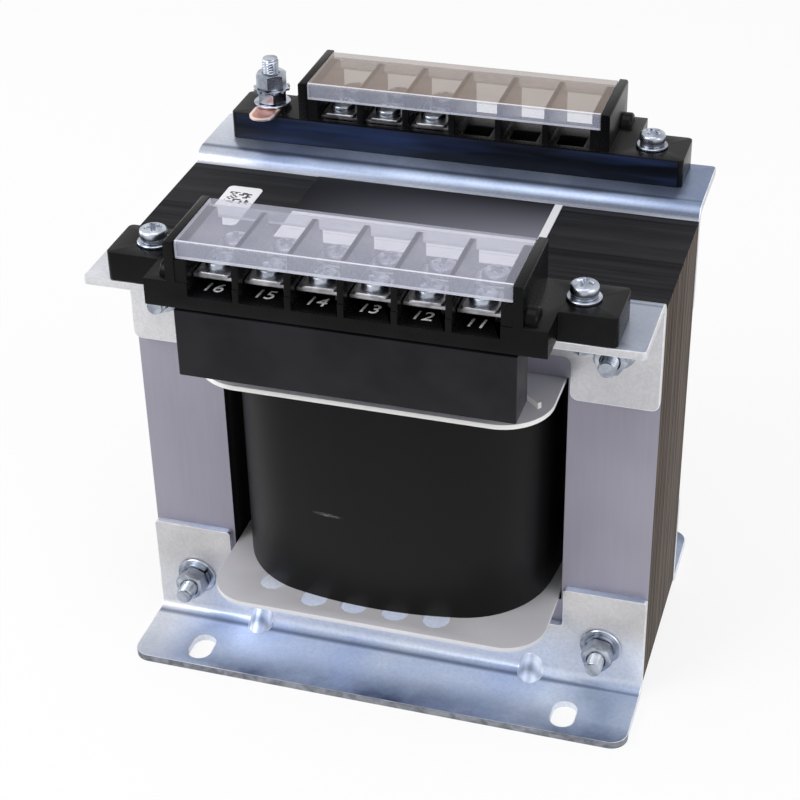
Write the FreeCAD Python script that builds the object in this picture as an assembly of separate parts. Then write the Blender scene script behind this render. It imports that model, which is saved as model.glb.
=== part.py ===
import FreeCAD, Part
import math
import os

os.makedirs("parts", exist_ok=True)
V = FreeCAD.Vector

# Laminated chassis transformer. Millimetres, +Z up, the numbered side faces -Y.
# The origin is the centre of the footprint on the mounting plane.
# "d" below is a distance outward from the core's face, the same for front and rear.

# Driving dimensions
lam_a = 25.0            # unit of the scrapless E-I lamination: window width, yoke width
stack = 50.0            # thickness of the lamination pack
foot_rise = 3.5         # core to the outer face of each bracket flange
sheet = 2.3             # bracket sheet
bend_r = 5.0            # outer bend radius of the brackets
foot_depth = 27.0       # depth of the mounting feet
shelf_depth = 28.8      # depth of the upper flanges
bolt_d = 5.0            # through bolts and earth stud
screw_d = 4.0           # terminal and block screws
cell_w = 12.1           # clear width of a terminal cell
rib_t = 1.77            # partition between two cells
cells = 6
shank_sides = 8         # sides that stand for a round shank or bore, since they repeat
head_sides = 12
rim_sides = 12
hole_sides = 16
end_flats = 7           # flats that stand for the round end of a bobbin slot

# Clearances
thread_gap = 0.05       # screw to the bore it turns in
hole_gap = 0.25         # bolt to its plain hole
washer_gap = 0.15       # screw to its washer
leg_gap = 0.5           # bobbin tube to the centre leg
window_gap = 0.1        # bobbin to the upper yoke
side_gap = 0.7          # bobbin flange to the outer legs
layer_gap = 0.05        # between two layers of the coil
lip_gap = 0.2           # cover to the block's walls

# Core
core_x = 3.0 * lam_a
core_y = stack / 2.0
core_z0 = foot_rise
core_z1 = core_z0 + 5.0 * lam_a
win_x0 = lam_a
win_x1 = 2.0 * lam_a
win_z0 = core_z0 + lam_a
win_z1 = core_z1 - lam_a
top_z = core_z1 + foot_rise
bolt_x = 2.5 * lam_a
bolt_z = [core_z0 + 0.5 * lam_a, core_z1 - 0.5 * lam_a]

# Brackets
tab_h = foot_rise + lam_a + 5.3
strip_h = foot_rise + lam_a - 7.8
cut_x = win_x1 + 0.9
foot_r = 5.0
shelf_r = 1.2
foot_tab_r = 1.0
shelf_tab_r = 2.2
gusset_x = cut_x - 8.7
gusset_r = 3.6
gusset_leg = 6.3
slot_w = 7.0
slot_len = 11.0
slot_x = bolt_x - 6.9
slot_d = 18.6

# Bobbin and coil
tube_t = 1.5
tube_r = 3.0
bob_flange_t = 1.5
bob_x = win_x1 - side_gap
bob_d_low = 27.5
bob_d_top = 27.0
bob_r = 12.0
bob_top_r = 14.0
exit_w = 7.7
exit_pitch = 12.15
exit_d0 = 11.0
exit_d1 = 23.8
exit_side_x = 32.3
exit_side_d1 = 19.5
bob_rib_x = 43.4
bob_rib_d = 14.1
bob_rib_len = 6.8
bob_rib_t = 1.2
bob_rib_h = 1.8
bob_rib_turn = -42.0
wrap_x = win_x1 - 3.0
wrap_d = 20.4
wrap_t = 1.0
ply_t = 0.8

# Terminal block, heights above the bracket's upper face
pitch = cell_w + rib_t
cells_x = (cells * pitch - rib_t) / 2.0
shoulder_x = cells_x + 3.1
wall_x = shoulder_x + 2.6
bar_x = wall_x + 6.3
ear_x = wall_x + 21.3
ear_screw_x = wall_x + 11.1
ear_screw_d = 20.4
base_d0 = 12.2
base_d1 = shelf_depth - 0.2
base_h = 8.2
bar_d1 = base_d1 + 10.4
bar_h0 = 0.6
ledge_h = 4.4
rib_h = 18.4
rib_low_h = 14.4
rib_d0 = 13.0
rib_d1 = bar_d1 - 0.4
cover_t = 1.2
lip_t = 1.2
cover_h = rib_h + cover_t
lip_drop = 5.0
cover_d0 = rib_d0
cover_d1 = bar_d1 - 0.9
pocket_w = 8.0
pocket_d0 = 14.7
pocket_d1 = 21.4
pocket_deep = 5.0
boss_r = 3.4
boss_len = 3.0
boss_in = 5.5

# Terminal strips and their screws
strip_w = 11.5
strip_t = 1.0
strip_d0 = 15.1
strip_d1 = base_d1 + 6.4
tail_w = 2.4
tail_t = 0.8
tail_x = 4.1
tail_d = base_d1 + 1.4
tail_drop = 5.0
near_d = 19.0
far_d = base_d1 + 2.4
plate_w = 9.4
plate_t = 0.9
pan_r = 3.7
pan_h = 2.6
ear_pan_h = 3.0

# Lead guard
guard_x = shoulder_x + 1.3
guard_t = 1.6
guard_h = 19.4
guard_step = 0.1
guard_back_d = shelf_depth - 1.3
tongue_t = 1.6
tongue_in = 3.0
tongue_deep = 6.0

# Labels
label_t = 0.3
label_x = 36.4
label_y0 = -13.7
label_y1 = core_y - 0.3
code_x0 = -59.4
code_x1 = -49.0
code_y0 = -10.4
code_y1 = 13.0


def box(x0, x1, y0, y1, z0, z1):
    return Part.makeBox(x1 - x0, y1 - y0, z1 - z0, V(x0, y0, z0))


def dbox(x0, x1, d0, d1, z0, z1):
    """Box on the front side, with its depth given as distances from the core's face."""
    return box(x0, x1, -core_y - d1, -core_y - d0, z0, z1)


def fy(d):
    return -core_y - d


def to_rear(shape):
    """Turn a front piece half a turn about the vertical axis."""
    turned = shape.copy()
    turned.rotate(V(0, 0, 0), V(0, 0, 1), 180)
    return turned


def save(name, shapes):
    shape = shapes[0] if len(shapes) == 1 else Part.makeCompound(shapes)
    shape.exportStep("parts/" + name + ".step")


def fillet_where(shape, radius, test):
    """Round every edge that passes the test."""
    edges = [e for e in shape.Edges if test(e)]
    return shape.makeFillet(radius, edges)


def is_upright(edge, x=None, y=None):
    """True for a straight vertical edge at the given plan position."""
    a = edge.Vertexes[0].Point
    b = edge.Vertexes[-1].Point
    if abs(a.x - b.x) > 1e-6 or abs(a.y - b.y) > 1e-6:
        return False
    if x is not None and abs(abs(a.x) - x) > 1e-6:
        return False
    return y is None or abs(abs(a.y) - y) < 1e-6


def slot_prism(x, y, width, length, z0, z1):
    """Slot with full round ends, long along Y."""
    r = width / 2.0
    half = length / 2.0 - r
    p = [V(x + r, y - half, z0), V(x + r, y + half, z0), V(x - r, y + half, z0), V(x - r, y - half, z0)]
    edges = [
        Part.makeLine(p[0], p[1]),
        Part.Arc(p[1], V(x, y + half + r, z0), p[2]).toShape(),
        Part.makeLine(p[2], p[3]),
        Part.Arc(p[3], V(x, y - half - r, z0), p[0]).toShape(),
    ]
    return Part.Face(Part.Wire(edges)).extrude(V(0, 0, z1 - z0))


def light_slot(x, y, width, length, z0, z1):
    """The same slot where it repeats, each round end drawn with a few flats that touch the arc."""
    r = width / 2.0
    half = length / 2.0 - r
    step = math.pi / end_flats
    reach = r / math.cos(step / 2.0)
    points = []
    for side in (1, -1):
        for n in range(end_flats):
            turn = step * (n + 0.5)
            out = half + reach * math.sin(turn)
            points.append(V(x + side * reach * math.cos(turn), y + side * out, z0))
    return Part.Face(Part.makePolygon(points + [points[0]])).extrude(V(0, 0, z1 - z0))


def flat_sided(sides, r, z0, z1):
    """Upright bar whose round section is drawn as a regular polygon."""
    step = 2.0 * math.pi / sides
    points = [V(r * math.cos(step * (n + 0.5)), r * math.sin(step * (n + 0.5)), z0) for n in range(sides)]
    return Part.Face(Part.makePolygon(points + [points[0]])).extrude(V(0, 0, z1 - z0))


def bolt_hole(x, z, length):
    """Cutter for a bolt's clearance hole, from in front of the brackets towards +Y."""
    hole = flat_sided(hole_sides, bolt_d / 2.0 + hole_gap, 0, length)
    hole.rotate(V(0, 0, 0), V(1, 0, 0), -90)
    hole.translate(V(x, -core_y - bend_r, z))
    return hole


def rounded_plan(hx, hy, r, z0, z1):
    """Upright block with four rounded corners, centred on the origin."""
    body = box(-hx, hx, -hy, hy, z0, z1)
    return fillet_where(body, r, lambda e: is_upright(e, hx, hy))


def bulged_plan(hx, hy, side_rx, side_ry, corner_r, z0, z1):
    """Plan of a wound coil: four gentle side arcs and four corner arcs, all tangent.

    The side arcs are centred on the axes. Each corner's centre is where the two circles
    of internally tangent centres meet, and the joints lie on the lines between centres.
    """
    cx = hx - side_rx
    cy = hy - side_ry
    ra = side_rx - corner_r
    rb = side_ry - corner_r
    span = math.hypot(cx, cy)
    along = (ra * ra - rb * rb + span * span) / (2.0 * span)
    across = math.sqrt(ra * ra - along * along)
    ux = -cx / span
    uy = cy / span
    kx = cx + along * ux - across * uy
    ky = along * uy + across * ux
    if kx < 0 or ky < 0:
        kx = cx + along * ux + across * uy
        ky = along * uy - across * ux
    tx = V(cx + (kx - cx) / ra * side_rx, ky / ra * side_rx, z0)
    ty = V(kx / rb * side_ry, cy + (ky - cy) / rb * side_ry, z0)
    mid = V(kx, ky, z0)
    bis = V((tx - mid).x + (ty - mid).x, (tx - mid).y + (ty - mid).y, 0).normalize()
    knee = mid + bis * corner_r

    def flip(p, sx, sy):
        return V(p.x * sx, p.y * sy, z0)

    edges = [
        Part.Arc(flip(tx, 1, -1), V(hx, 0, z0), tx).toShape(),
        Part.Arc(tx, knee, ty).toShape(),
        Part.Arc(ty, V(0, hy, z0), flip(ty, -1, 1)).toShape(),
        Part.Arc(flip(ty, -1, 1), flip(knee, -1, 1), flip(tx, -1, 1)).toShape(),
        Part.Arc(flip(tx, -1, 1), V(-hx, 0, z0), flip(tx, -1, -1)).toShape(),
        Part.Arc(flip(tx, -1, -1), flip(knee, -1, -1), flip(ty, -1, -1)).toShape(),
        Part.Arc(flip(ty, -1, -1), V(0, -hy, z0), flip(ty, 1, -1)).toShape(),
        Part.Arc(flip(ty, 1, -1), flip(knee, 1, -1), flip(tx, 1, -1)).toShape(),
    ]
    return Part.Face(Part.Wire(edges)).extrude(V(0, 0, z1 - z0))


# Core: E-I pack with two windows and four bolt holes
core = box(-core_x, core_x, -core_y, core_y, core_z0, core_z1)
for side in (-1, 1):
    xa = min(side * win_x0, side * win_x1)
    core = core.cut(box(xa, xa + lam_a, -core_y - 1, core_y + 1, win_z0, win_z1))
    for z in bolt_z:
        core = core.cut(bolt_hole(side * bolt_x, z, stack + 2.0 * bend_r))
save("core_laminations", [core])


# L brackets: bent sheet with a winding cut-out, pressed gussets and slots
def dart(xm, r, reach):
    """Round bar across the corner of a bend at 45 degrees, its ridge meeting each leg at the reach."""
    slope = math.sqrt(0.5)
    back = reach * slope - r
    bar = flat_sided(hole_sides, r, 0, 4.0 * reach)
    bar.rotate(V(0, 0, 0), V(1, 0, 0), -45)
    bar.translate(V(xm, fy(reach + back * slope), -reach + back * slope))
    return bar


def bracket(depth, slots, flange_r, tab_r, dart_r):
    """Lower front bracket, its foot on the mounting plane, with the slots cut from it."""
    inner_r = bend_r - sheet
    profile = [
        Part.makeLine(V(-core_x, fy(0), tab_h), V(-core_x, fy(0), bend_r)),
        Part.Arc(V(-core_x, fy(0), bend_r),
                 V(-core_x, fy(bend_r * (1 - math.sqrt(0.5))), bend_r * (1 - math.sqrt(0.5))),
                 V(-core_x, fy(bend_r), 0)).toShape(),
        Part.makeLine(V(-core_x, fy(bend_r), 0), V(-core_x, fy(depth), 0)),
        Part.makeLine(V(-core_x, fy(depth), 0), V(-core_x, fy(depth), sheet)),
        Part.makeLine(V(-core_x, fy(depth), sheet), V(-core_x, fy(bend_r), sheet)),
        Part.Arc(V(-core_x, fy(bend_r), sheet),
                 V(-core_x, fy(bend_r - inner_r * math.sqrt(0.5)), bend_r - inner_r * math.sqrt(0.5)),
                 V(-core_x, fy(sheet), bend_r)).toShape(),
        Part.makeLine(V(-core_x, fy(sheet), bend_r), V(-core_x, fy(sheet), tab_h)),
        Part.makeLine(V(-core_x, fy(sheet), tab_h), V(-core_x, fy(0), tab_h)),
    ]
    body = Part.Face(Part.Wire(profile)).extrude(V(2 * core_x, 0, 0))

    # winding cut-out with rounded inner corners
    cut = dbox(-cut_x, cut_x, -1, sheet + 1, strip_h, tab_h + 1)
    cut = fillet_where(cut, tab_r, lambda e: abs(e.CenterOfMass.z - strip_h) < 1e-6
                       and abs(abs(e.CenterOfMass.x) - cut_x) < 1e-6)
    body = body.cut(cut)

    # rounded free corners of the flange and of the tabs
    body = fillet_where(body, flange_r, lambda e: is_upright(e, core_x, core_y + depth))
    body = fillet_where(body, tab_r, lambda e: abs(e.CenterOfMass.z - tab_h) < 1e-6
                        and e.Length < sheet + 0.01)

    # pressed darts across the bend: a ridge inside and a dimple outside
    reach = sheet + gusset_leg
    corner = dbox(-core_x, core_x, sheet - 0.1, depth, sheet - 0.1, tab_h)
    for xm in (-gusset_x, gusset_x) if dart_r else ():
        ridge = dart(xm, dart_r, reach + sheet).common(corner)
        body = body.fuse(ridge)
        body = body.cut(dart(xm, dart_r - 0.7 * sheet, reach - 0.7 * sheet))
    for cutter in slots + [bolt_hole(side * bolt_x, bolt_z[0], 2.0 * bend_r) for side in (-1, 1)]:
        body = body.cut(cutter)
    return body.removeSplitter()


def to_top(shape):
    """Mirror a lower bracket about the core's middle height, to the upper flange."""
    return shape.mirror(V(0, 0, top_z / 2.0), V(0, 0, 1))


foot_slots = []
shelf_slots = []
for side in (-1, 1):
    foot_slots.append(slot_prism(side * slot_x, fy(slot_d), slot_w, slot_len, -1, sheet + 1))
    shelf_slots.append(light_slot(side * ear_screw_x, fy(slot_d), slot_w, slot_len, -1, sheet + 1))
foot_front = bracket(foot_depth, foot_slots, foot_r, foot_tab_r, gusset_r)
shelf_front = to_top(bracket(shelf_depth, shelf_slots, shelf_r, shelf_tab_r, None))
save("foot_bracket_front", [foot_front])
save("foot_bracket_rear", [to_rear(foot_front)])
save("top_bracket_front", [shelf_front])
save("top_bracket_rear", [to_rear(shelf_front)])


# Bobbin: tube round the centre leg, two flanges, lead exits, a locating rib
tube_in_x = win_x0 + leg_gap
tube_in_y = core_y + leg_gap
tube_x = tube_in_x + tube_t
tube_y = tube_in_y + tube_t
bob_z0 = win_z0
bob_z1 = win_z1 - window_gap
wind_z0 = bob_z0 + bob_flange_t
wind_z1 = bob_z1 - bob_flange_t

bobbin = rounded_plan(tube_x, tube_y, tube_r, bob_z0, bob_z1)
bobbin = bobbin.fuse(rounded_plan(bob_x, core_y + bob_d_low, bob_r, bob_z0, wind_z0))
bobbin = bobbin.fuse(rounded_plan(bob_x, core_y + bob_d_top, bob_top_r, wind_z1, bob_z1))
bobbin = bobbin.cut(box(-tube_in_x, tube_in_x, -tube_in_y, tube_in_y, bob_z0 - 1, bob_z1 + 1))
exit_len = exit_d1 - exit_d0
exits = []
for k in (-1.5, -0.5, 0.5, 1.5):
    exits.append(light_slot(k * exit_pitch, fy(exit_d0 + exit_len / 2.0), exit_w, exit_len,
                            bob_z0 - 1, bob_z1 + 1))
side_len = exit_side_d1 - exit_d0
exits.append(light_slot(-exit_side_x, fy(exit_d0 + side_len / 2.0), exit_w, side_len, bob_z0 - 1, bob_z1 + 1))
for cutter in exits:
    bobbin = bobbin.cut(cutter).cut(to_rear(cutter))
rib = box(-bob_rib_len / 2.0, bob_rib_len / 2.0, -bob_rib_t / 2.0, bob_rib_t / 2.0,
          bob_z1 - 0.2, bob_z1 + bob_rib_h)
rib.rotate(V(0, 0, 0), V(0, 0, 1), bob_rib_turn)
rib.translate(V(bob_rib_x, fy(bob_rib_d), 0))
bobbin = bobbin.fuse([rib, to_rear(rib)]).removeSplitter()
save("bobbin", [bobbin])


# Coil: every layer is an inward parallel of the same tangent-arc outline
def coil_plan(inset):
    hy = core_y + wrap_d
    return bulged_plan(wrap_x - inset, hy - inset, wrap_x * 2.98 - inset, hy * 2.64 - inset,
                       wrap_x * 0.575 - inset, wind_z0, wind_z1)


second_t = (wrap_x - wrap_t - tube_x) * 0.44
t1 = wrap_t
t2 = t1 + layer_gap
t3 = t2 + second_t
t4 = t3 + layer_gap
t5 = t4 + ply_t
t6 = t5 + layer_gap
former = rounded_plan(tube_x + layer_gap, tube_y + layer_gap, tube_r + layer_gap, wind_z0, wind_z1)
save("outer_wrap", [coil_plan(0.0).cut(coil_plan(t1))])
save("secondary_winding", [coil_plan(t2).cut(coil_plan(t3))])
save("interlayer_insulation", [coil_plan(t4).cut(coil_plan(t5))])
save("primary_winding", [coil_plan(t6).cut(former)])


# Fasteners, round sections drawn with few sides because they repeat
end_bevel = 0.5


def light_round(r, z0, z1):
    return flat_sided(shank_sides, r, z0, z1)


def bevel_end(bar, size, z):
    """Turn off the corner all round the end face at height z."""
    return bar.makeChamfer(size, [e for e in bar.Edges if abs(e.CenterOfMass.z - z) < 1e-6])


def hexagon(af, height, turn):
    blank = flat_sided(6, af / math.sqrt(3.0), 0, height)
    blank.rotate(V(0, 0, 0), V(0, 0, 1), turn)
    return blank


def hex_nut(af, height, bore_r, turn):
    return hexagon(af, height, turn).cut(light_round(bore_r, -1, height + 1))


def hex_bolt(size, af, head_h, length, turn):
    """Head above z = 0, shank below with a bevelled end."""
    shank = bevel_end(light_round(size / 2.0, -length, 0), end_bevel, -length)
    return hexagon(af, head_h, turn).fuse(shank)


def pan_screw(size, head_r, head_h, length):
    """Pan head, seat at z = 0."""
    head = bevel_end(flat_sided(head_sides, head_r, 0, head_h), head_h * 0.35, head_h)
    return head.fuse(light_round(size / 2.0, -length, 0))


def washer(r_in, r_out, t):
    return flat_sided(rim_sides, r_out, 0, t).cut(light_round(r_in, -1, t + 1))


def split_washer(r_in, r_out, t, turn):
    """Spring washer with its slanted split."""
    blade = box(0, r_out + 1, -0.3, 0.3, -t * 3, t * 4)
    blade.rotate(V(0, 0, t / 2.0), V(1, 0, 0), 35)
    blade.rotate(V(0, 0, 0), V(0, 0, 1), turn)
    return washer(r_in, r_out, t).cut(blade)


def at(shape, x, y, z):
    moved = shape.copy()
    moved.translate(V(x, y, z))
    return moved


def facing_front(shape, x, y, z):
    """Lay a +Z fastener down so that +Z points to the front, -Y."""
    moved = shape.copy()
    moved.rotate(V(0, 0, 0), V(1, 0, 0), 90)
    moved.translate(V(x, y, z))
    return moved


# Through bolts: heads at the rear, nuts at the front
bolt_af = bolt_d * 1.6
nut_h = bolt_d * 0.94
head_h = bolt_d * 0.7
flat_r = bolt_d * 1.24
flat_t = 1.0
spring_r = bolt_d * 0.92
spring_t = 1.3
bolt_out = 4.5
nut_d = sheet + flat_t + spring_t
bolt_len = 2.0 * core_y + sheet + flat_t + nut_d + nut_h + bolt_out
bolts = []
nuts = []
springs = []
flats = []
flat_shape = washer(bolt_d / 2.0 + hole_gap, flat_r, flat_t)
for x, turn in ((-bolt_x, 12.0), (bolt_x, 41.0)):
    for z in bolt_z:
        bolt = hex_bolt(bolt_d, bolt_af, head_h, bolt_len, turn)
        nut = hex_nut(bolt_af, nut_h, bolt_d / 2.0 + thread_gap, turn + 8.0)
        spring = split_washer(bolt_d / 2.0 + washer_gap, spring_r, spring_t, 55.0 - turn)
        bolts.append(to_rear(facing_front(bolt, -x, fy(sheet + flat_t), z)))
        nuts.append(facing_front(nut, x, fy(nut_d), z))
        springs.append(facing_front(spring, x, fy(sheet + flat_t), z))
        flats.append(facing_front(flat_shape, x, fy(sheet), z))
        flats.append(to_rear(facing_front(flat_shape, -x, fy(sheet), z)))
save("clamp_bolts", bolts)
save("clamp_nuts", nuts)
save("clamp_spring_washers", springs)
save("clamp_flat_washers", flats)


# Terminal block
def cell_x(k):
    return (k - (cells - 1) / 2.0) * pitch


def terminal_block():
    """Six-cell barrier block with shoulders, end walls and two ears."""
    base = dbox(-ear_x, ear_x, base_d0, base_d1, top_z, top_z + base_h)
    base = fillet_where(base, 1.5, lambda e: is_upright(e, ear_x))
    bar = dbox(-bar_x, bar_x, base_d1 - 0.1, bar_d1, top_z + bar_h0, top_z + base_h)
    ribs = dbox(-shoulder_x, shoulder_x, rib_d0, rib_d1, top_z + base_h - 0.1, top_z + rib_h)
    lip_in = cover_d0 + 2.0 * lip_t
    lip_out = cover_d1 - 2.0 * lip_t - lip_gap
    for d0, d1 in ((0.0, lip_in), (lip_out, bar_d1 + 1)):
        ribs = ribs.cut(dbox(-bar_x, bar_x, d0, d1, top_z + rib_low_h, top_z + rib_h + 1))
    block = base.fuse([bar, ribs])
    for side in (-1, 1):
        xa = min(side * shoulder_x, side * wall_x)
        xb = max(side * shoulder_x, side * wall_x)
        wall = dbox(xa, xb, base_d0 + 0.4, bar_d1, top_z + base_h - 0.1, top_z + cover_h)
        wall = fillet_where(wall, 0.8, lambda e: abs(e.CenterOfMass.z - top_z - cover_h) < 1e-6
                            and abs(abs(e.CenterOfMass.x) - wall_x) < 1e-6)
        peg = flat_sided(hole_sides, boss_r, -0.5, boss_len)
        peg = peg.makeChamfer(0.6, [e for e in peg.Edges if abs(e.CenterOfMass.z - boss_len) < 1e-6])
        peg.rotate(V(0, 0, 0), V(0, 1, 0), side * 90)
        peg.translate(V(side * wall_x, fy(bar_d1 - boss_in), top_z + base_h))
        block = block.fuse([wall, peg])
    for k in range(cells):
        x = cell_x(k)
        half = cell_w / 2.0
        block = block.cut(dbox(x - half, x + half, base_d0 - 1, bar_d1 + 1,
                               top_z + base_h, top_z + rib_h + 1))
        block = block.cut(dbox(x - half, x + half, base_d1 + 0.4, bar_d1 + 1,
                               top_z + ledge_h, top_z + base_h + 1))
        block = block.cut(dbox(x - pocket_w / 2.0, x + pocket_w / 2.0, pocket_d0, pocket_d1,
                               top_z + base_h - pocket_deep, top_z + base_h + 1))
        block = block.cut(dbox(x + tail_x - tail_w / 2.0 - 0.3, x + tail_x + tail_w / 2.0 + 0.3,
                               tail_d - 0.3, tail_d + tail_t + 0.3, top_z - 1, top_z + base_h + 1))
    for side in (-1, 1):
        hole = flat_sided(hole_sides, bolt_d / 2.0 + hole_gap, top_z - 1, top_z + base_h + 1)
        hole.translate(V(side * ear_screw_x, fy(ear_screw_d), 0))
        block = block.cut(hole)
    return block.removeSplitter()


def cover():
    """Clear tray that rests on the partitions, with a lip along each long side."""
    x = shoulder_x - lip_gap
    tray = dbox(-x, x, cover_d0, cover_d1, top_z + cover_h - lip_drop, top_z + cover_h)
    tray = fillet_where(tray, 0.9, lambda e: abs(e.CenterOfMass.z - top_z - cover_h) < 1e-6 and e.Length > x)
    return tray.cut(dbox(-x - 1, x + 1, cover_d0 + lip_t, cover_d1 - lip_t, top_z, top_z + rib_h))


def lead_guard():
    """Thin guard below the bar: front wall, side returns hooked under the flange, tongue."""
    low = top_z - guard_h
    high = top_z - guard_step
    front = dbox(-guard_x, guard_x, bar_d1 - guard_t, bar_d1, low, high)
    parts = []
    for side in (-1, 1):
        xa = min(side * guard_x, side * (guard_x - guard_t))
        flank = dbox(xa, xa + guard_t, guard_back_d, bar_d1, low, high)
        parts.append(flank.cut(dbox(xa - 1, xa + guard_t + 1, 0, shelf_depth + 0.1,
                                    top_z - sheet, top_z + 1)))
    tongue_x = guard_x - tongue_in
    parts.append(dbox(-tongue_x, tongue_x, bar_d1 - guard_t - tongue_t, bar_d1 - guard_t + 0.1,
                      top_z - tongue_deep, top_z + bar_h0))
    guard = front.fuse(parts).removeSplitter()
    return fillet_where(guard, 0.6, lambda e: is_upright(e, guard_x, core_y + bar_d1))


block_front = terminal_block()
cover_front = cover()
guard_front = lead_guard()
save("terminal_block_front", [block_front])
save("terminal_block_rear", [to_rear(block_front)])
save("terminal_cover_front", [cover_front])
save("terminal_cover_rear", [to_rear(cover_front)])
save("lead_guard_front", [guard_front])
save("lead_guard_rear", [to_rear(guard_front)])


# Terminal strips, clamp plates and screws
strip_z = top_z + base_h
plate_z = strip_z + strip_t
head_z = plate_z + plate_t


def strip(x):
    """Flat strip with two tapped holes and a solder tail through the bar."""
    flat = dbox(x - strip_w / 2.0, x + strip_w / 2.0, strip_d0, strip_d1, strip_z, plate_z)
    tail = dbox(x + tail_x - tail_w / 2.0, x + tail_x + tail_w / 2.0, tail_d, tail_d + tail_t,
                top_z - tail_drop, strip_z + 0.1)
    flat = flat.fuse(tail)
    for d in (near_d, far_d):
        bore = light_round(screw_d / 2.0 + thread_gap, strip_z - 1, plate_z + 1)
        flat = flat.cut(at(bore, x, fy(d), 0))
    return flat


def clamp_plate(x, d):
    """Square wire clamp with its corners nipped off."""
    half = plate_w / 2.0
    plate = dbox(x - half, x + half, d - half, d + half, plate_z, head_z)
    plate = plate.makeChamfer(1.0, [e for e in plate.Edges if is_upright(e)])
    bore = light_round(screw_d / 2.0 + thread_gap, plate_z - 1, head_z + 1)
    return plate.cut(at(bore, x, fy(d), 0))


def terminal_set(cell_list):
    strips = []
    plates = []
    screws = []
    near_len = plate_t + strip_t + pocket_deep - 1.0
    far_len = plate_t + strip_t + 1.2
    for k in cell_list:
        x = cell_x(k)
        strips.append(strip(x))
        for d, length in ((near_d, near_len), (far_d, far_len)):
            plates.append(clamp_plate(x, d))
            screws.append(at(pan_screw(screw_d, pan_r, pan_h, length), x, fy(d), head_z))
    return strips, plates, screws


front_set = terminal_set(range(cells))
rear_set = terminal_set([k for k in range(cells) if k >= cells // 2])
for name, group in zip(("terminal_strips", "clamp_plates", "terminal_screws"), zip(front_set, rear_set)):
    save(name + "_front", group[0])
    save(name + "_rear", [to_rear(s) for s in group[1]])


# Block screws, their nuts and washers
m4_af = 7.0
m4_spring_r = 3.5
m4_flat_r = 4.5
m4_flat_t = 0.8
m4_spring_t = 1.0
m4_nut_h = 3.2
ear_top = top_z + base_h
shelf_low = top_z - sheet
seat = ear_top + m4_flat_t + m4_spring_t
screw_len = seat - shelf_low + m4_flat_t + m4_nut_h + 1.0
ears = [(-ear_screw_x, fy(ear_screw_d)), (ear_screw_x, fy(ear_screw_d)), (ear_screw_x, -fy(ear_screw_d))]
block_screws = []
block_springs = []
block_flats = []
block_nuts = []
for n, (x, y) in enumerate(ears):
    block_screws.append(at(pan_screw(screw_d, pan_r, ear_pan_h, screw_len), x, y, seat))
    spring = split_washer(screw_d / 2.0 + washer_gap, m4_spring_r, m4_spring_t, 200 + 70 * n)
    block_springs.append(at(spring, x, y, ear_top + m4_flat_t))
    flat = washer(screw_d / 2.0 + washer_gap, m4_flat_r, m4_flat_t)
    block_flats.append(at(flat, x, y, ear_top))
    block_flats.append(at(flat, x, y, shelf_low - m4_flat_t))
    nut = hex_nut(m4_af, m4_nut_h, screw_d / 2.0 + thread_gap, 10 + 17 * n)
    block_nuts.append(at(nut, x, y, shelf_low - m4_flat_t - m4_nut_h))
save("block_screws", block_screws)
save("block_spring_washers", block_springs)
save("block_flat_washers", block_flats)
save("block_nuts", block_nuts)


# Protective earth stud, rear left. Its thread is drawn at the outer radius where it stands
# free and at the mean radius where the nuts, washers and flange surround it.
earth_x = -ear_screw_x
earth_y = -fy(ear_screw_d)
tag_t = 0.7
earth_flat_r = 5.5
tooth_t = 0.8
low_nut_h = 3.6
stud_rise = 23.2
mean_r = bolt_d * 0.45
free_gap = 0.3
stud_top = top_z + stud_rise
tag_z = ear_top
flat_z = tag_z + tag_t
low_nut_z = flat_z + tooth_t
tooth_z = low_nut_z + low_nut_h
top_nut_z = tooth_z + tooth_t
free_z = top_nut_z + nut_h + free_gap
stud = hexagon(bolt_af, head_h, 0)
stud.translate(V(0, 0, shelf_low - flat_t - head_h))
held = light_round(mean_r, shelf_low - flat_t - head_h, free_z)
free = bevel_end(Part.makeCylinder(bolt_d / 2.0, stud_top - free_z, V(0, 0, free_z)), end_bevel, stud_top)
save("earth_stud", [at(stud.fuse([held, free]), earth_x, earth_y, 0)])
low_nut = hex_nut(bolt_af, low_nut_h, mean_r + thread_gap, 24)
top_nut = hex_nut(bolt_af, nut_h, mean_r + thread_gap, 5)
save("earth_nuts", [at(low_nut, earth_x, earth_y, low_nut_z), at(top_nut, earth_x, earth_y, top_nut_z)])


def toothed_washer(r_in, r_out, t, teeth):
    """Star washer with pointed teeth all round its rim."""
    points = []
    for n in range(2 * teeth):
        r = r_out if n % 2 else r_out * 0.86
        points.append(V(r * math.cos(math.pi * n / teeth), r * math.sin(math.pi * n / teeth), 0))
    star = Part.Face(Part.makePolygon(points + [points[0]])).extrude(V(0, 0, t))
    return star.cut(light_round(r_in, -1, t + 1))


earth_bore = bolt_d / 2.0 + washer_gap
save("earth_washers", [
    at(washer(earth_bore, earth_flat_r, flat_t), earth_x, earth_y, shelf_low - flat_t),
    at(washer(earth_bore, earth_flat_r, tooth_t), earth_x, earth_y, flat_z),
    at(toothed_washer(earth_bore, earth_flat_r, tooth_t, 12), earth_x, earth_y, tooth_z),
])
tag_w = 7.8
tag_d0 = 7.8
tag_d1 = ear_screw_d + 4.2
tag = light_slot(earth_x, core_y + (tag_d0 + tag_d1) / 2.0, tag_w, tag_d1 - tag_d0, tag_z, tag_z + tag_t)
tag = tag.cut(at(light_round(earth_bore, tag_z - 1, tag_z + tag_t + 1), earth_x, earth_y, 0))
save("earth_tag", [tag])


# Labels on the core's top
plate = box(-label_x, label_x, label_y0, label_y1, core_z1, core_z1 + label_t)
save("rating_plate", [plate])
code = box(code_x0, code_x1, code_y0, code_y1, core_z1, core_z1 + label_t / 2.0)
save("code_sticker", [fillet_where(code, 1.6, lambda e: is_upright(e))])
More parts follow.
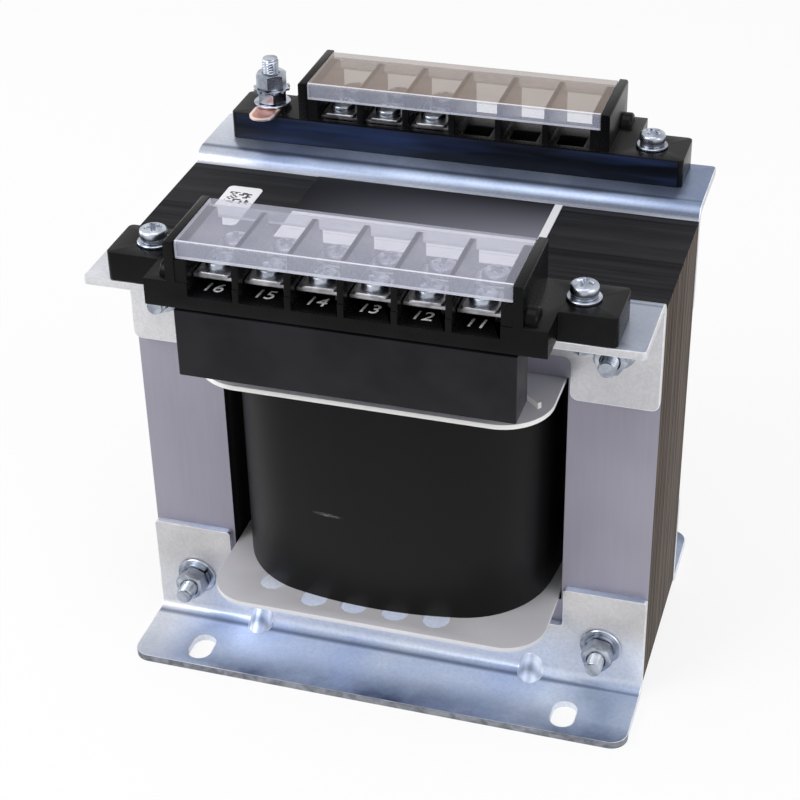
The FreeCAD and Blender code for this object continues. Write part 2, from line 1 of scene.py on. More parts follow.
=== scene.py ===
import bmesh
import bpy
import math
from mathutils import Matrix, Vector


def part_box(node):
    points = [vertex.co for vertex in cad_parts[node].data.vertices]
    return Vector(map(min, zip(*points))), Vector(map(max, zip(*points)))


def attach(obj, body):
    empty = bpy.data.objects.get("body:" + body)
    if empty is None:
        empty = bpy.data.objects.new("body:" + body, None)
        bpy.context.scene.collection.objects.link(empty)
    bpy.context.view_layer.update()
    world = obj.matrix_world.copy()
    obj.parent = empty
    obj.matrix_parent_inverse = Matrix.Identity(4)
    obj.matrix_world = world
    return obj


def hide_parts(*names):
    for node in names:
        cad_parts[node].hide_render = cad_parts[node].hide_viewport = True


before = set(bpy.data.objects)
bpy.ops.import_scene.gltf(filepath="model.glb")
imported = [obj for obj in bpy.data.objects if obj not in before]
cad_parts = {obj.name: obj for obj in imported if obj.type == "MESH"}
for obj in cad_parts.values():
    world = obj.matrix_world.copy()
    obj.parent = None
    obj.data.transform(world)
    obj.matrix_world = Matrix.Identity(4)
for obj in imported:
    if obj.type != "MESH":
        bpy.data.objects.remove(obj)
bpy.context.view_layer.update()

MM = 0.001

# Core
# A pack of 0.5 mm electrical steel E and I sheets, stacked along Y, dipped in varnish and clamped.
# The outer sheets are plain steel; the stacked edges are varnished, black on top and in the windows,
# and browner down the two outer sides.
core_lo, core_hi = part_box("core_laminations")
unit = core_hi.x / 3.0
lamination = 0.5 * MM


def colour(code):
    """Linear RGBA of an sRGB hex colour."""
    channels = [int(code[i:i + 2], 16) / 255.0 for i in (1, 3, 5)]
    return (*[c / 12.92 if c <= 0.04045 else ((c + 0.055) / 1.055) ** 2.4 for c in channels], 1.0)


def feed(node, inputs):
    """Set a node's inputs; a value that is another node's output is linked."""
    for key, value in inputs.items():
        if isinstance(value, bpy.types.NodeSocket):
            node.id_data.links.new(value, node.inputs[key])
        else:
            node.inputs[key].default_value = value
    return node


def add(material, kind, inputs, **settings):
    """Add a shader node with its settings and links."""
    node = material.node_tree.nodes.new("ShaderNode" + kind)
    for key, value in settings.items():
        setattr(node, key, value)
    return feed(node, inputs)


def new_material(name):
    """Empty finish: the material, its surface shader and the position on the part in metres."""
    material = bpy.data.materials.new(name)
    material.use_nodes = True
    return material, material.node_tree.nodes["Principled BSDF"], add(material, "TexCoord", {}).outputs["Object"]


def place(name, mesh, materials, slot, *nodes):
    """Put a mesh in the scene as a piece of the part that stands for the CAD nodes."""
    piece = bpy.data.objects.new(name, mesh)
    bpy.context.scene.collection.objects.link(piece)
    for material in materials:
        mesh.materials.append(material)
    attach(piece, "root")
    if nodes:
        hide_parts(*nodes)


def soften(bm, sharp_angle):
    """Shade smooth over every edge that turns less than the angle."""
    for face in bm.faces:
        face.smooth = True
    for edge in bm.edges:
        turn = edge.calc_face_angle(0.0) if len(edge.link_faces) == 2 else math.pi
        edge.smooth = turn < math.radians(sharp_angle)


def eased(node, radius):
    """Copy of a CAD solid with its flat faces joined and its edges rounded over."""
    same_point = 0.001 * MM
    level_angle, edge_angle, shading_angle = 1.0, 28.0, 32.0
    bm = bmesh.new()
    bm.from_mesh(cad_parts[node].data)
    bmesh.ops.remove_doubles(bm, verts=bm.verts, dist=same_point)
    bmesh.ops.dissolve_limit(bm, angle_limit=math.radians(level_angle), verts=bm.verts, edges=bm.edges)
    hard = [e for e in bm.edges if len(e.link_faces) == 2 and e.calc_face_angle(0.0) > math.radians(edge_angle)]
    bmesh.ops.bevel(bm, geom=hard, offset=radius, segments=2, profile=0.6, affect="EDGES", clamp_overlap=False)
    bmesh.ops.triangulate(bm, faces=[f for f in bm.faces if len(f.verts) > 4])
    soften(bm, shading_angle)
    mesh = bpy.data.meshes.new(node)
    bm.to_mesh(mesh)
    bm.free()
    return mesh


def edge_finish(name, dark, light, band, stretch):
    """Varnished sheet edges: bands of sheets in one tone, fine lines between single sheets, hardly any gloss."""
    material, shader, position = new_material(name)
    depth = add(material, "SeparateXYZ", {0: position}).outputs["Y"]
    bands = add(material, "TexNoise", {"W": depth, "Scale": 1.0 / band, "Detail": 3.0, "Roughness": 0.6},
                noise_dimensions="1D").outputs[0]
    sheet = add(material, "Math", {0: depth, 1: lamination}, operation="SNAP").outputs[0]
    tone = add(material, "TexWhiteNoise", {"W": sheet}, noise_dimensions="1D").outputs["Value"]
    streak_at = add(material, "Mapping", {"Vector": position, "Scale": stretch}).outputs[0]
    streak = add(material, "TexNoise", {"Vector": streak_at, "Scale": 1.0 / (2.0 * MM), "Detail": 4.0}).outputs[0]
    lined = add(material, "Math", {0: tone, 1: 0.16, 2: bands}, operation="MULTIPLY_ADD").outputs[0]
    mixed = add(material, "Math", {0: streak, 1: 0.3, 2: lined}, operation="MULTIPLY_ADD").outputs[0]
    spread = add(material, "MapRange", {0: mixed, 1: 0.55, 2: 0.9}).outputs[0]
    base = add(material, "Mix", {0: spread, 6: colour(dark), 7: colour(light)}, data_type="RGBA").outputs[2]
    groove = add(material, "Bump", {"Height": tone, "Distance": 0.1 * MM, "Strength": 0.5}).outputs[0]
    feed(shader, {"Base Color": base, "Roughness": 0.6, "Normal": groove, "Specular IOR Level": 0.05})
    return material


def sheet_finish():
    """Cold-rolled sheet face: an even lavender grey, with faint rolling streaks up the leg."""
    material, shader, position = new_material("rolled_sheet_face")
    stretched = add(material, "Mapping", {"Vector": position, "Scale": (1.0, 1.0, 0.06)}).outputs[0]
    rolling = add(material, "TexNoise", {"Vector": stretched, "Scale": 1.0 / (1.2 * MM), "Detail": 4.0}).outputs[0]
    cloud = add(material, "TexNoise", {"Vector": position, "Scale": 1.0 / (40.0 * MM), "Detail": 2.0}).outputs[0]
    mixed = add(material, "Math", {0: rolling, 1: 0.25, 2: cloud}, operation="MULTIPLY_ADD").outputs[0]
    spread = add(material, "MapRange", {0: mixed, 1: 0.4, 2: 0.85}).outputs[0]
    base = add(material, "Mix", {0: spread, 6: colour("#8e8b99"), 7: colour("#9c99a7")}, data_type="RGBA").outputs[2]
    relief = add(material, "Bump", {"Height": rolling, "Distance": 0.02 * MM, "Strength": 0.2}).outputs[0]
    feed(shader, {"Base Color": base, "Metallic": 0.35, "Roughness": 0.42, "Normal": relief})
    return material


along_x = (0.12, 1.0, 1.0)
along_z = (1.0, 1.0, 0.12)
core_mesh = eased("core_laminations", 0.15 * MM)
for face in core_mesh.polygons:
    outer_side = abs(face.normal.x) > 0.7 and abs(face.center.x) > 2.9 * unit
    face.material_index = 0 if abs(face.normal.y) > 0.7 else (2 if outer_side else 1)
core_finishes = [
    sheet_finish(),
    edge_finish("varnished_edges_black", "#141416", "#2b2b2e", 6.0 * MM, along_x),
    edge_finish("varnished_edges_brown", "#0f0b0a", "#6b5e55", 1.8 * MM, along_z),
]
place("lamination_pack", core_mesh, core_finishes, "core_steel", "core_laminations")


# Bobbin
# One injection moulding in pale grey nylon: a square tube on the centre leg with a flange at each end.
# The flanges have slots for the wire ends; their edges are painted paler than the faces as a highlight, whiter on the
# upper flange.
def nylon_finish(name, dark, light):
    """Satin nylon with a trace of flow marks and a slightly waxy depth."""
    material, shader, position = new_material(name)
    cloud = add(material, "TexNoise", {"Vector": position, "Scale": 1.0 / (22.0 * MM), "Detail": 3.0}).outputs[0]
    base = add(material, "Mix", {0: cloud, 6: colour(dark), 7: colour(light)}, data_type="RGBA").outputs[2]
    grain = add(material, "TexNoise", {"Vector": position, "Scale": 1.0 / (0.4 * MM), "Detail": 2.0}).outputs[0]
    relief = add(material, "Bump", {"Height": grain, "Distance": 0.02 * MM, "Strength": 0.25}).outputs[0]
    feed(shader, {"Base Color": base, "Roughness": 0.42, "Normal": relief, "Subsurface Weight": 0.15,
                  "Subsurface Scale": 1.5 * MM})
    return material


bobbin_mesh = eased("bobbin", 0.22 * MM)
for face in bobbin_mesh.polygons:
    upper = face.center.z > 0.5 * core_hi.z
    face.material_index = 0 if abs(face.normal.z) >= 0.9 else (1 if upper else 2)
# the two rim finishes are painted highlights, the upper one brighter
nylons = [
    nylon_finish("pale_nylon_satin", "#b3b2b6", "#c4c3c8"),
    nylon_finish("pale_nylon_upper_rim_painted_highlight", "#e6e5e2", "#f6f6f4"),
    nylon_finish("pale_nylon_lower_rim_painted_highlight", "#c9cad0", "#d9dae0"),
]
place("bobbin_moulding", bobbin_mesh, nylons, "former_nylon", "bobbin")


# Coil
# Enamelled wire in two windings with film between them, closed by a black outer wrap.
# Only the wrap is seen: satin film, drawn tight, so the coil's bulged outline shows through it.
def wire_finish(name, dark, light, pitch):
    """Enamelled wire laid in level turns, one ridge for each turn, with painted shade in the grooves and a painted
    highlight on the crests.
    """
    material, shader, position = new_material(name)
    height = add(material, "SeparateXYZ", {0: position}).outputs["Z"]
    turn = add(material, "Math", {0: height, 1: 2.0 * math.pi / pitch}, operation="MULTIPLY").outputs[0]
    ridge = add(material, "Math", {0: turn}, operation="SINE").outputs[0]
    shade = add(material, "MapRange", {0: ridge, 1: -1.0, 2: 1.0}).outputs[0]
    # painted shade and highlight across each turn
    base = add(material, "Mix", {0: shade, 6: colour(dark), 7: colour(light)}, data_type="RGBA").outputs[2]
    relief = add(material, "Bump", {"Height": shade, "Distance": 0.3 * MM, "Strength": 0.8}).outputs[0]
    feed(shader, {"Base Color": base, "Metallic": 0.9, "Roughness": 0.3, "Normal": relief})
    return material


def film_finish(name, dark, light, roughness):
    """Polyester film: nearly even, with slow folds along the wrap and a dull, weak reflection."""
    material, shader, position = new_material(name)
    stretched = add(material, "Mapping", {"Vector": position, "Scale": (1.0, 1.0, 0.25)}).outputs[0]
    wave = add(material, "TexNoise", {"Vector": stretched, "Scale": 1.0 / (18.0 * MM), "Detail": 3.0}).outputs[0]
    fine = add(material, "TexNoise", {"Vector": position, "Scale": 1.0 / (1.1 * MM), "Detail": 3.0}).outputs[0]
    base = add(material, "Mix", {0: wave, 6: colour(dark), 7: colour(light)}, data_type="RGBA").outputs[2]
    gloss = add(material, "MapRange", {0: fine, 3: roughness - 0.05, 4: roughness + 0.08}).outputs[0]
    relief = add(material, "Bump", {"Height": wave, "Distance": 0.2 * MM, "Strength": 0.3}).outputs[0]
    feed(shader, {"Base Color": base, "Roughness": gloss, "Normal": relief, "Specular IOR Level": 0.14})
    return material


def scuffed(material, spot, reach):
    """Rub one thin dry streak into a film, broken up by noise, at a spot on its face."""
    shader = material.node_tree.nodes["Principled BSDF"]
    film = shader.inputs["Base Color"].links[0].from_socket
    position = add(material, "TexCoord", {}).outputs["Object"]
    away = add(material, "VectorMath", {0: position, 1: spot}, operation="SUBTRACT").outputs[0]
    squeezed = add(material, "Mapping", {"Vector": away, "Rotation": (0.0, 0.12, 0.0),
                                         "Scale": (1.0, 0.1, 7.0)}).outputs[0]
    length = add(material, "VectorMath", {0: squeezed}, operation="LENGTH").outputs["Value"]
    near = add(material, "MapRange", {0: length, 1: reach * 0.3, 2: reach, 3: 1.0, 4: 0.0}).outputs[0]
    scratch = add(material, "TexNoise", {"Vector": squeezed, "Scale": 1.0 / (1.6 * MM), "Detail": 4.0}).outputs[0]
    lines = add(material, "MapRange", {0: scratch, 1: 0.4, 2: 0.62}).outputs[0]
    mark = add(material, "Math", {0: near, 1: lines}, operation="MULTIPLY").outputs[0]
    base = add(material, "Mix", {0: mark, 6: film, 7: colour("#6c6b67")}, data_type="RGBA").outputs[2]
    feed(shader, {"Base Color": base})
    return material


def dress(node, material):
    """Give a CAD node that stays in the scene its finish."""
    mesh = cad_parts[node].data
    mesh.materials.clear()
    mesh.materials.append(material)


dress("primary_winding", wire_finish("enamelled_wire_thick", "#5e2a12", "#b3643a", 0.9 * MM))
dress("secondary_winding", wire_finish("enamelled_wire_thin", "#6b3217", "#c0713f", 0.6 * MM))
dress("interlayer_insulation", film_finish("amber_film", "#b79c62", "#cdb47c", 0.35))
wrap_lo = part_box("outer_wrap")[0]
scuff_spot = (-13.0 * MM, wrap_lo.y, 60.0 * MM)
black_film = scuffed(film_finish("black_film_satin", "#09090a", "#111112", 0.36), scuff_spot, 5.0 * MM)
place("coil_wrap", eased("outer_wrap", 0.2 * MM), [black_film], "black_wrap", "outer_wrap")


# Clamp brackets
# Four L brackets pressed from 2.3 mm sheet, with darts across the bend, then bright zinc plated.
# The plating has soft clouds and fine handling marks; its bluish flats and dark smoky free edge are painted
# reflection, and its darker bend is painted shade.
def plated_finish(name, shade, light, roughness, patch):
    """Zinc or tin plate: cloudy tone in patches of the given size, fine grain, satin sheen."""
    material, shader, position = new_material(name)
    cloud = add(material, "TexNoise", {"Vector": position, "Scale": 1.0 / patch, "Detail": 4.0,
                                       "Distortion": 0.6}).outputs[0]
    tint = add(material, "MapRange", {0: cloud, 1: 0.35, 2: 0.65}).outputs[0]
    base = add(material, "Mix", {0: tint, 6: colour(shade), 7: colour(light)}, data_type="RGBA").outputs[2]
    fine = add(material, "TexNoise", {"Vector": position, "Scale": 1.0 / (0.7 * MM), "Detail": 4.0}).outputs[0]
    gloss = add(material, "MapRange", {0: cloud, 1: 0.3, 2: 0.7, 3: roughness - 0.06, 4: roughness + 0.08}).outputs[0]
    relief = add(material, "Bump", {"Height": fine, "Distance": 0.03 * MM, "Strength": 0.3}).outputs[0]
    feed(shader, {"Base Color": base, "Metallic": 1.0, "Roughness": gloss, "Normal": relief})
    return material


foot_lo, foot_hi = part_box("foot_bracket_front")
shelf_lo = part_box("top_bracket_front")[0]
foot_edge = -foot_lo.y
shelf_edge = -shelf_lo.y + 12.0 * MM
bend_end = core_hi.y + 5.4 * MM


def zinc_painted_light_finish(name, upright, flats, metallic, free_edge, bend_shade_strength):
    """Zinc sheet with painted light: silver on upright faces, flats painted bluish as a reflection, a painted dark
    reflection towards the free edge, painted shade along the bend.
    """
    material, shader, position = new_material(name)
    axes = add(material, "SeparateXYZ", {0: position}).outputs
    facing_up = add(material, "SeparateXYZ", {0: add(material, "TexCoord", {}).outputs["Normal"]}).outputs["Z"]
    level = add(material, "Math", {0: facing_up}, operation="ABSOLUTE").outputs[0]
    flat = add(material, "MapRange", {0: level, 1: 0.2, 2: 0.8}).outputs[0]
    cloud = add(material, "TexNoise", {"Vector": position, "Scale": 1.0 / (34.0 * MM), "Detail": 5.0,
                                       "Distortion": 0.4}).outputs[0]
    tint = add(material, "MapRange", {0: cloud, 1: 0.3, 2: 0.7}).outputs[0]
    silver, bluish = (add(material, "Mix", {0: tint, 6: colour(shade), 7: colour(light)},
                          data_type="RGBA").outputs[2] for shade, light in (upright, flats))
    # upright faces catch the light low down, above the foot
    low = add(material, "MapRange", {0: axes["Z"], 1: foot_hi.z * 0.3, 2: foot_hi.z * 0.75, 3: 0.85, 4: 0.0},
              interpolation_type="SMOOTHSTEP").outputs[0]
    side = add(material, "Mix", {0: low, 6: silver, 7: colour("#eaf1ff")}, data_type="RGBA").outputs[2]
    # painted reflection: the flats are bluish, the upright faces silver
    plated = add(material, "Mix", {0: flat, 6: side, 7: bluish}, data_type="RGBA").outputs[2]
    # painted shade: the bend is greyer where it turns halfway
    tilt = add(material, "Math", {0: level, 1: 0.55}, operation="SUBTRACT").outputs[0]
    tilt = add(material, "Math", {0: tilt}, operation="ABSOLUTE").outputs[0]
    bend_painted_shade = add(material, "MapRange", {0: tilt, 1: 0.06, 2: 0.26, 3: bend_shade_strength, 4: 0.0}).outputs[0]
    with_bend_shade = add(material, "Mix", {0: bend_painted_shade, 6: plated, 7: colour("#4d5566")}, data_type="RGBA").outputs[2]
    # the left end keeps the silver tone, with no painted dark reflection
    left = add(material, "MapRange", {0: axes["X"], 1: foot_lo.x + 5.0 * MM, 2: foot_lo.x + 22.0 * MM,
                                      3: 0.7, 4: 0.0}).outputs[0]
    plate = add(material, "Mix", {0: left, 6: with_bend_shade, 7: silver}, data_type="RGBA").outputs[2]
    clear = add(material, "Math", {0: 1.0, 1: left}, operation="SUBTRACT").outputs[0]
    # painted dark reflection along the free edge and at the right end
    out = add(material, "Math", {0: axes["Y"]}, operation="ABSOLUTE").outputs[0]
    rim = add(material, "MapRange", {0: out, 1: free_edge - 16.0 * MM, 2: free_edge - 0.5 * MM},
              interpolation_type="SMOOTHSTEP").outputs[0]
    drift = add(material, "TexNoise", {"Vector": position, "Scale": 1.0 / (60.0 * MM), "Detail": 7.0,
                                       "Roughness": 0.6}).outputs[0]
    thick = add(material, "MapRange", {0: drift, 1: 0.25, 2: 0.6}).outputs[0]
    right = add(material, "MapRange", {0: axes["X"], 1: foot_hi.x - 28.0 * MM, 2: foot_hi.x - 8.0 * MM,
                                       3: 0.0, 4: 0.5}).outputs[0]
    dark_reflection = add(material, "Math", {0: rim, 1: thick}, operation="MULTIPLY").outputs[0]
    dark_reflection = add(material, "Math", {0: dark_reflection, 1: right}, operation="MAXIMUM").outputs[0]
    dark_reflection = add(material, "Math", {0: dark_reflection, 1: clear}, operation="MULTIPLY").outputs[0]
    # painted shade: a dark line where the bend ends on the flat
    past = add(material, "Math", {0: out, 1: bend_end}, operation="SUBTRACT").outputs[0]
    past = add(material, "Math", {0: past}, operation="ABSOLUTE").outputs[0]
    crease_shade = add(material, "MapRange", {0: past, 1: 0.3 * MM, 2: 1.6 * MM, 3: 0.75, 4: 0.0}).outputs[0]
    dark = add(material, "Math", {0: dark_reflection, 1: crease_shade}, operation="MAXIMUM").outputs[0]
    dark = add(material, "Math", {0: dark, 1: flat}, operation="MULTIPLY").outputs[0]
    # the painted dark reflection and bend shade are mixed in as dark blue
    stained = add(material, "Mix", {0: dark, 6: plate, 7: colour("#3f4f6e")}, data_type="RGBA").outputs[2]
    # fine crystal grain over all
    grain = add(material, "TexNoise", {"Vector": position, "Scale": 1.0 / (0.9 * MM), "Detail": 5.0}).outputs[0]
    speck = add(material, "MapRange", {0: grain, 1: 0.35, 2: 0.65, 3: 0.93, 4: 1.04}).outputs[0]
    base = add(material, "VectorMath", {0: stained, "Scale": speck}, operation="SCALE").outputs[0]
    gloss = add(material, "MapRange", {0: cloud, 1: 0.3, 2: 0.7, 3: 0.3, 4: 0.46}).outputs[0]
    relief = add(material, "Bump", {"Height": grain, "Distance": 0.05 * MM, "Strength": 0.4}).outputs[0]
    feed(shader, {"Base Color": base, "Metallic": metallic, "Roughness": gloss, "Normal": relief})
    return material


# feet and shelves get separate copies whose flats differ as painted reflection
zinc_foot = zinc_painted_light_finish("zinc_foot_painted_reflection", ("#b2b0b2", "#d3d2d3"), ("#b8cdf8", "#e6f1ff"), 0.32,
                              foot_edge, 0.0)
zinc_shelf = zinc_painted_light_finish("zinc_rear_shelf_painted_reflection", ("#b9bbc3", "#dddfe5"), ("#8795b4", "#b3c1da"), 0.8,
                               shelf_edge, 0.8)
zinc_pale = zinc_painted_light_finish("zinc_front_shelf_painted_reflection", ("#bcbcc0", "#dedee1"), ("#bfc5d3", "#e0e5ee"), 0.6,
                              shelf_edge, 0.3)
# rounded rims are painted pale as a highlight
zinc_rim_highlight = plated_finish("zinc_rim_painted_highlight", "#cfd2db", "#eef0f4", 0.36, 5.0 * MM)
zinc_cut = plated_finish("zinc_sheared_edge_grey", "#6d7179", "#999ca4", 0.45, 3.0 * MM)
narrow = 0.3 * MM
for bracket, body in (("foot_bracket_front", zinc_foot), ("foot_bracket_rear", zinc_foot),
                      ("top_bracket_front", zinc_pale), ("top_bracket_rear", zinc_shelf)):
    sheet_mesh = eased(bracket, 0.25 * MM)
    points = sheet_mesh.vertices
    for face in sheet_mesh.polygons:
        width = min((points[a].co - points[b].co).length for a, b in face.edge_keys)
        square_on = max(abs(part) for part in face.normal) > 0.98
        at_edge = abs(face.center.y) > foot_edge - 6.0 * MM and face.center.z < 2.6 * MM
        sheared = at_edge and abs(face.normal.z) < 0.3
        face.material_index = 2 if sheared else (1 if width < narrow and not square_on else 0)
    place(bracket + "_plated", sheet_mesh, [body, zinc_rim_highlight, zinc_cut], "zinc_sheet", bracket)


# Through bolts
# Four M5 bolts clamp the pack: hexagon heads at the rear, nuts with split washers at the front.
# Bright zinc plated steel with rolled threads.
bolt_r = 2.5 * MM
bolt_pitch = 0.8 * MM
bolt_af = 8.0 * MM
bolt_head = 3.5 * MM
bolt_bore = bolt_r * 1.01
bolt_flat_t = 1.0 * MM
bolt_flat_bore = bolt_r + 0.25 * MM
bolt_spring_r = 4.6 * MM
bolt_spots = [(x, z) for x in (-2.5 * unit, 2.5 * unit) for z in (core_lo.z + 0.5 * unit, core_hi.z - 0.5 * unit)]
bolt_turns = (0.2, 0.9, 0.3, 0.5)
play = 0.15 * MM
around = 48
zinc_fastener = plated_finish("zinc_fastener_bright", "#868c98", "#bfc5d0", 0.27, 5.0 * MM)


def ring(radius, z, count=around):
    """Level circle of points."""
    return [Vector((radius * math.cos(2.0 * math.pi * k / count), radius * math.sin(2.0 * math.pi * k / count), z))
            for k in range(count)]


def hex_ring(af, z, face_r=None):
    """Hexagon as a ring of points; outside face_r, they sink by the turned 30 degree chamfer."""
    points = []
    for k in range(around):
        angle = 2.0 * math.pi * k / around
        side = (angle + math.pi / 6.0) % (math.pi / 3.0) - math.pi / 6.0
        r = af / 2.0 / math.cos(side)
        sink = 0.0 if face_r is None else (r - face_r) * math.tan(math.radians(30.0))
        points.append(Vector((r * math.cos(angle), r * math.sin(angle), z - sink)))
    return points


def loft(bm, rings, matrix, closed=False):
    """Skin a row of rings with quads, and cap its ends unless it closes on itself."""
    rows = [[bm.verts.new(matrix @ p) for p in row] for row in rings]
    pairs = list(zip(rows, rows[1:]))
    if closed:
        pairs.append((rows[-1], rows[0]))
    for low, high in pairs:
        for k in range(len(low)):
            bm.faces.new((low[k - 1], low[k], high[k], high[k - 1]))
    if not closed:
        bm.faces.new(rows[0][::-1])
        bm.faces.new(rows[-1])


def thread_rings(radius, pitch, z0, z1):
    """Rings up a rolled thread: the crest climbs one pitch for each turn."""
    depth = 0.6 * pitch
    steps = max(2, round((z1 - z0) / pitch * 6))
    rows = []
    for n in range(steps + 1):
        z = z0 + (z1 - z0) * n / steps
        row = []
        for k, p in enumerate(ring(1.0, z)):
            phase = (z / pitch - k / around) % 1.0
            cut = depth * min(1.0, 2.4 * abs(phase - 0.5))
            fade = min(1.0, (z1 - z) / pitch)
            r = radius - depth * (1.0 - fade) * 0.7 - cut * fade
            row.append(Vector((p.x * r, p.y * r, z)))
        rows.append(row)
    return rows


def nut_rings(af, height, bore):
    """Closed section of a hexagon nut with turned faces and a countersunk bore."""
    face_r = af / 2.0 * 0.96
    lead_in = 0.35 * MM
    top = hex_ring(af, height, face_r)
    low = [Vector((p.x, p.y, height - p.z)) for p in top]
    return [ring(bore, lead_in), ring(bore + lead_in, 0.0), ring(face_r, 0.0), low, top, ring(face_r, height),
            ring(bore + lead_in, height), ring(bore, height - lead_in)]


def washer_rings(inner, outer, thick):
    """Closed section of a punched washer with eased rims."""
    ease = thick * 0.25
    return [ring(inner, ease), ring(inner + ease, 0.0), ring(outer - ease, 0.0), ring(outer, ease),
            ring(outer, thick - ease), ring(outer - ease, thick), ring(inner + ease, thick), ring(inner, thick - ease)]


def head_rings(af, height):
    """Hexagon bolt head from its seat to its turned top."""
    face_r = af / 2.0 * 0.95
    dish = 0.15 * MM
    return [hex_ring(af, 0.0), hex_ring(af, height, face_r), ring(face_r, height), ring(face_r * 0.5, height - dish)]


def split_rings(inner, outer, thick, turn):
    """Spring washer: sections of a square bar swept almost once round, its ends sprung apart."""
    count = 56
    gap = math.radians(9.0)
    low, high = 0.08 * thick, 0.92 * thick
    rows = []
    for k in range(count + 1):
        share = k / count
        angle = turn + gap / 2.0 + (2.0 * math.pi - gap) * share
        lift = (share - 0.5) * thick * 0.16
        rows.append([Vector((r * math.cos(angle), r * math.sin(angle), z + lift))
                     for r, z in ((inner, low), (outer, low), (outer, high), (inner, high))])
    return rows


def finished(name, bm, sharp_angle=35.0):
    """Mesh from a filled bmesh, its normals outward and its shading set."""
    bmesh.ops.recalc_face_normals(bm, faces=bm.faces)
    soften(bm, sharp_angle)
    mesh = bpy.data.meshes.new(name)
    bm.to_mesh(mesh)
    bm.free()
    return mesh


def place_fasteners(name, bm, node, material=zinc_fastener, sharp_angle=35.0):
    """Put a filled bmesh in the scene as the fasteners of one node."""
    place(name, finished(name, bm, sharp_angle), [material], "zinc_fastener", node)


def facing(x, y, z, sign):
    """Local +Z laid along -Y (sign -1) or +Y (sign 1)."""
    return Matrix.Translation((x, y, z)) @ Matrix.Rotation(math.radians(-90.0 * sign), 4, "X")


bolts_lo, bolts_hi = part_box("clamp_bolts")
nuts_lo, nuts_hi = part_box("clamp_nuts")
springs_lo, springs_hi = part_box("clamp_spring_washers")
flats_lo, flats_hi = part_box("clamp_flat_washers")
flat_r = (flats_hi.z - flats_lo.z - (bolt_spots[1][1] - bolt_spots[0][1])) / 2.0
bolt_length = bolts_hi.y - bolt_head - bolts_lo.y
plain_length = bolts_hi.y - bolt_head - nuts_hi.y
bolts, nuts, springs, flats = (bmesh.new() for _ in range(4))
for n, (x, z) in enumerate(bolt_spots):
    turned = Matrix.Rotation(bolt_turns[n], 4, "Z")
    seat = bolts_hi.y - bolt_head
    loft(bolts, head_rings(bolt_af, bolt_head), facing(x, seat, z, 1) @ turned)
    loft(bolts, [ring(bolt_r, 0.0), ring(bolt_r, plain_length)], facing(x, seat, z, -1))
    loft(bolts, thread_rings(bolt_r, bolt_pitch, plain_length, bolt_length), facing(x, seat, z, -1))
    loft(nuts, nut_rings(bolt_af, nuts_hi.y - nuts_lo.y, bolt_bore), facing(x, nuts_hi.y, z, -1) @ turned, True)
    loft(springs, split_rings(bolt_r + play, bolt_spring_r, springs_hi.y - springs_lo.y, 0.7 + 1.9 * n),
         facing(x, springs_hi.y, z, -1))
    for y, sign in ((springs_hi.y + bolt_flat_t, -1), (flats_hi.y - bolt_flat_t, 1)):
        loft(flats, washer_rings(bolt_flat_bore, flat_r, bolt_flat_t), facing(x, y, z, sign), True)
for name, bm, node in (("through_bolts", bolts, "clamp_bolts"), ("through_bolt_nuts", nuts, "clamp_nuts"),
                       ("through_bolt_springs", springs, "clamp_spring_washers"),
                       ("through_bolt_flats", flats, "clamp_flat_washers")):
    place_fasteners(name, bm, node)


# Terminal blocks and guards
# Phenolic barrier blocks with six cells each, and thin black guards hooked under them.
# Glossy black, slightly wavy from shrinkage; the long sides that face the core carry a painted blue reflection.
def moulded_finish(name, dark, light, roughness, shine, patch, along):
    """Thermoset moulding: slow sink waves (along below 1 draws them out), a fine tooth, a weak reflection."""
    material, shader, position = new_material(name)
    flow = add(material, "Mapping", {"Vector": position, "Scale": (along, 1.0, 1.0)}).outputs[0]
    sink = add(material, "TexNoise", {"Vector": flow, "Scale": 1.0 / patch, "Detail": 3.0}).outputs[0]
    shade = add(material, "MapRange", {0: sink, 1: 0.38, 2: 0.62}).outputs[0]
    grain = add(material, "TexNoise", {"Vector": position, "Scale": 1.0 / (0.55 * MM), "Detail": 3.0}).outputs[0]
    base = add(material, "Mix", {0: shade, 6: colour(dark), 7: colour(light)}, data_type="RGBA").outputs[2]
    gloss = add(material, "MapRange", {0: grain, 3: roughness - 0.05, 4: roughness + 0.1}).outputs[0]
    wave = add(material, "Bump", {"Height": sink, "Distance": 0.15 * MM, "Strength": 0.3}).outputs[0]
    relief = add(material, "Bump", {"Height": grain, "Distance": 0.015 * MM, "Strength": 0.3,
                                    "Normal": wave}).outputs[0]
    feed(shader, {"Base Color": base, "Roughness": gloss, "Normal": relief, "Specular IOR Level": shine})
    return material


gloss_black = moulded_finish("black_thermoset_gloss", "#080809", "#101012", 0.24, 0.1, 14.0 * MM, 1.0)
blue_reflection_black = moulded_finish("black_thermoset_painted_blue_reflection", "#090c14", "#243151", 0.3, 0.16, 6.0 * MM, 0.1)
satin_black = moulded_finish("black_guard_satin", "#121116", "#1c1b20", 0.36, 0.16, 14.0 * MM, 1.0)
broad = 60.0 * MM * MM
for end, inward in (("front", 1.0), ("rear", -1.0)):
    block_mesh = eased("terminal_block_" + end, 0.25 * MM)
    for face in block_mesh.polygons:
        # broad faces towards the core take the painted blue reflection
        face.material_index = 1 if face.normal.y * inward > 0.9 and face.area > broad else 0
    place("barrier_block_" + end, block_mesh, [gloss_black, blue_reflection_black], "black_moulding", "terminal_block_" + end)
    place("guard_" + end, eased("lead_guard_" + end, 0.2 * MM), [satin_black], "guard_moulding", "lead_guard_" + end)


